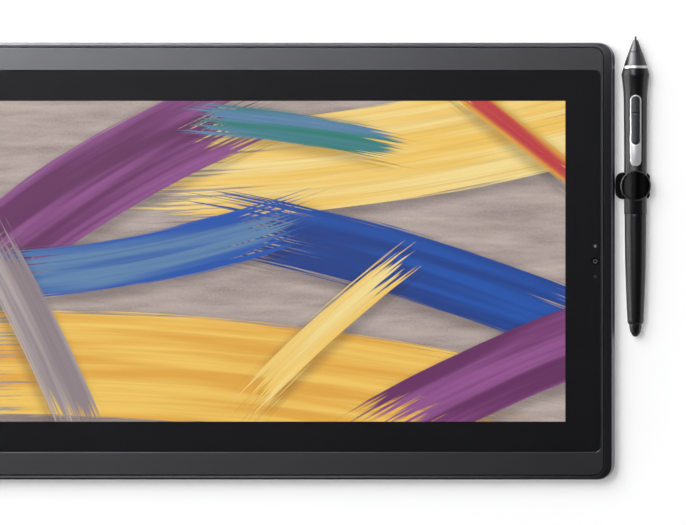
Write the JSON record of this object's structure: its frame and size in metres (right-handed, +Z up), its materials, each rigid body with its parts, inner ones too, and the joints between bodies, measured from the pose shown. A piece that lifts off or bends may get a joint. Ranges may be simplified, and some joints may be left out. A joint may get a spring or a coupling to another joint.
{
  "type": "graphics tablet with screen",
  "caption": "Flat pen tablet with a screen behind black-bordered glass, keys and a touch ring on one side, and a pen in a clip on the other.",
  "frame": {"origin": "on the desk plane, under the middle of the tablet's outline", "axes": "+X to the pen's side, +Y to the top edge, +Z up out of the screen"},
  "size_m": [0.386, 0.2324, 0.0164],
  "materials": {
    "shell": "fine satin grey metal paint",
    "bezel": "fine satin grey metal paint",
    "frame_metal": "stamped, plain",
    "black_plastic": "fine moulded grain",
    "clear_glass": "etched satin front",
    "lens": "polished",
    "black_border": "printed matt black",
    "screen": "lit display",
    "white_film": "smooth",
    "circuit_board": "solder mask",
    "key_plastic": "soft matt",
    "copper": "plain",
    "battery_wrap": "smooth wrap",
    "lamp": "clear light pipe",
    "bright_metal": "satin",
    "dark_steel": "blackened",
    "rubber": "matt",
    "soft_touch": "soft-touch coating",
    "nib": "plain",
    "pen_plastic": "satin",
    "pen_nose": "satin grey metal paint",
    "pen_silver": "satin plated",
    "pen_rubber": "satin rubber"
  },
  "bodies": {
    "tablet": {"rear_cover": "shell", "intake_grille": "shell", "exhaust_grille": "shell", "speaker_grilles": "shell", "mid_frame": "frame_metal", "edge_key_bracket": "frame_metal", "front_bezel": "bezel", "key_panel": "black_plastic", "cover_glass": "clear_glass", "rear_camera_window": "clear_glass", "camera_lens": "lens", "glass_border": "black_border", "lcd_panel": "screen", "backlight_unit": "white_film", "digitizer_board": "circuit_board", "key_board": "circuit_board", "main_board": "circuit_board", "ssd_module": "circuit_board", "port_board": "circuit_board", "touch_ring": "key_plastic", "fan_housing": "black_plastic", "heat_pipe": "copper", "fin_stack": "copper", "battery_cells": "battery_wrap", "speakers": "black_plastic", "front_camera": "black_plastic", "status_lamp": "lamp", "light_sensor": "lens", "rear_camera": "black_plastic", "usb_ports": "bright_metal", "card_slot": "bright_metal", "lock_sleeve": "bright_metal", "headphone_jack": "black_plastic", "case_screws": "dark_steel", "rubber_feet": "rubber", "holder_sockets": "bright_metal", "holder_peg": "bright_metal", "pen_holder": "soft_touch"},
    "express_key_1": {"express_key_1": "key_plastic"},
    "express_key_2": {"express_key_2": "key_plastic"},
    "express_key_3": {"express_key_3": "key_plastic"},
    "express_key_4": {"express_key_4": "key_plastic"},
    "express_key_5": {"express_key_5": "key_plastic"},
    "express_key_6": {"express_key_6": "key_plastic"},
    "home_button": {"home_button": "key_plastic"},
    "power_button": {"power_button": "key_plastic"},
    "volume_rocker": {"volume_rocker": "key_plastic"},
    "fan_rotor": {"fan_rotor": "black_plastic"},
    "pen": {"pen_cone": "pen_nose", "pen_ring": "pen_silver", "pen_grip": "pen_rubber", "pen_core": "pen_plastic", "pen_switch_frame": "pen_silver", "pen_rocker_pin": "bright_metal", "pen_barrel": "pen_plastic"},
    "pen_nib": {"pen_nib": "nib"},
    "pen_rocker": {"pen_rocker": "pen_plastic"},
    "pen_eraser": {"pen_eraser": "pen_plastic"}
  },
  "joints": [
    {"name": "express_key_1_press", "type": "slide", "parent": "tablet", "child": "express_key_1", "axis": [0, 0, -1], "range_m": [0, 0.0006], "stiffness_N_per_m": 800},
    {"name": "express_key_2_press", "type": "slide", "parent": "tablet", "child": "express_key_2", "axis": [0, 0, -1], "range_m": [0, 0.0006], "stiffness_N_per_m": 800},
    {"name": "express_key_3_press", "type": "slide", "parent": "tablet", "child": "express_key_3", "axis": [0, 0, -1], "range_m": [0, 0.0006], "stiffness_N_per_m": 800},
    {"name": "express_key_4_press", "type": "slide", "parent": "tablet", "child": "express_key_4", "axis": [0, 0, -1], "range_m": [0, 0.0006], "stiffness_N_per_m": 800},
    {"name": "express_key_5_press", "type": "slide", "parent": "tablet", "child": "express_key_5", "axis": [0, 0, -1], "range_m": [0, 0.0006], "stiffness_N_per_m": 800},
    {"name": "express_key_6_press", "type": "slide", "parent": "tablet", "child": "express_key_6", "axis": [0, 0, -1], "range_m": [0, 0.0006], "stiffness_N_per_m": 800},
    {"name": "home_button_press", "type": "slide", "parent": "tablet", "child": "home_button", "axis": [0, 0, -1], "range_m": [0, 0.0006], "stiffness_N_per_m": 800},
    {"name": "power_button_press", "type": "slide", "parent": "tablet", "child": "power_button", "axis": [0, -1, 0], "range_m": [0, 0.0005], "stiffness_N_per_m": 800},
    {"name": "volume_rocker_tilt", "type": "hinge", "parent": "tablet", "child": "volume_rocker", "pos_m": [-0.14525, 0.10895, 0.0073], "axis": [0, 0, 1], "range_deg": [-2, 2], "stiffness_Nm_per_rad": 0.05},
    {"name": "fan_spin", "type": "hinge", "parent": "tablet", "child": "fan_rotor", "pos_m": [0.09212, 0.06655, 0.004], "axis": [0, 0, 1], "continuous": true},
    {"name": "pen_pull_out", "type": "slide", "parent": "tablet", "child": "pen", "axis": [0, 1, 0], "range_m": [0, 0.09]},
    {"name": "pen_nib_press", "type": "slide", "parent": "pen", "child": "pen_nib", "axis": [0, -1, 0], "range_m": [0, 0.0004], "stiffness_N_per_m": 800},
    {"name": "pen_rocker_tilt", "type": "hinge", "parent": "pen", "child": "pen_rocker", "pos_m": [0.1944, 0.0737, 0.0115], "axis": [1, 0, 0], "range_deg": [-2, 2], "stiffness_Nm_per_rad": 0.05},
    {"name": "pen_eraser_press", "type": "slide", "parent": "pen", "child": "pen_eraser", "axis": [0, 1, 0], "range_m": [0, 0.0008], "stiffness_N_per_m": 800}
  ]
}
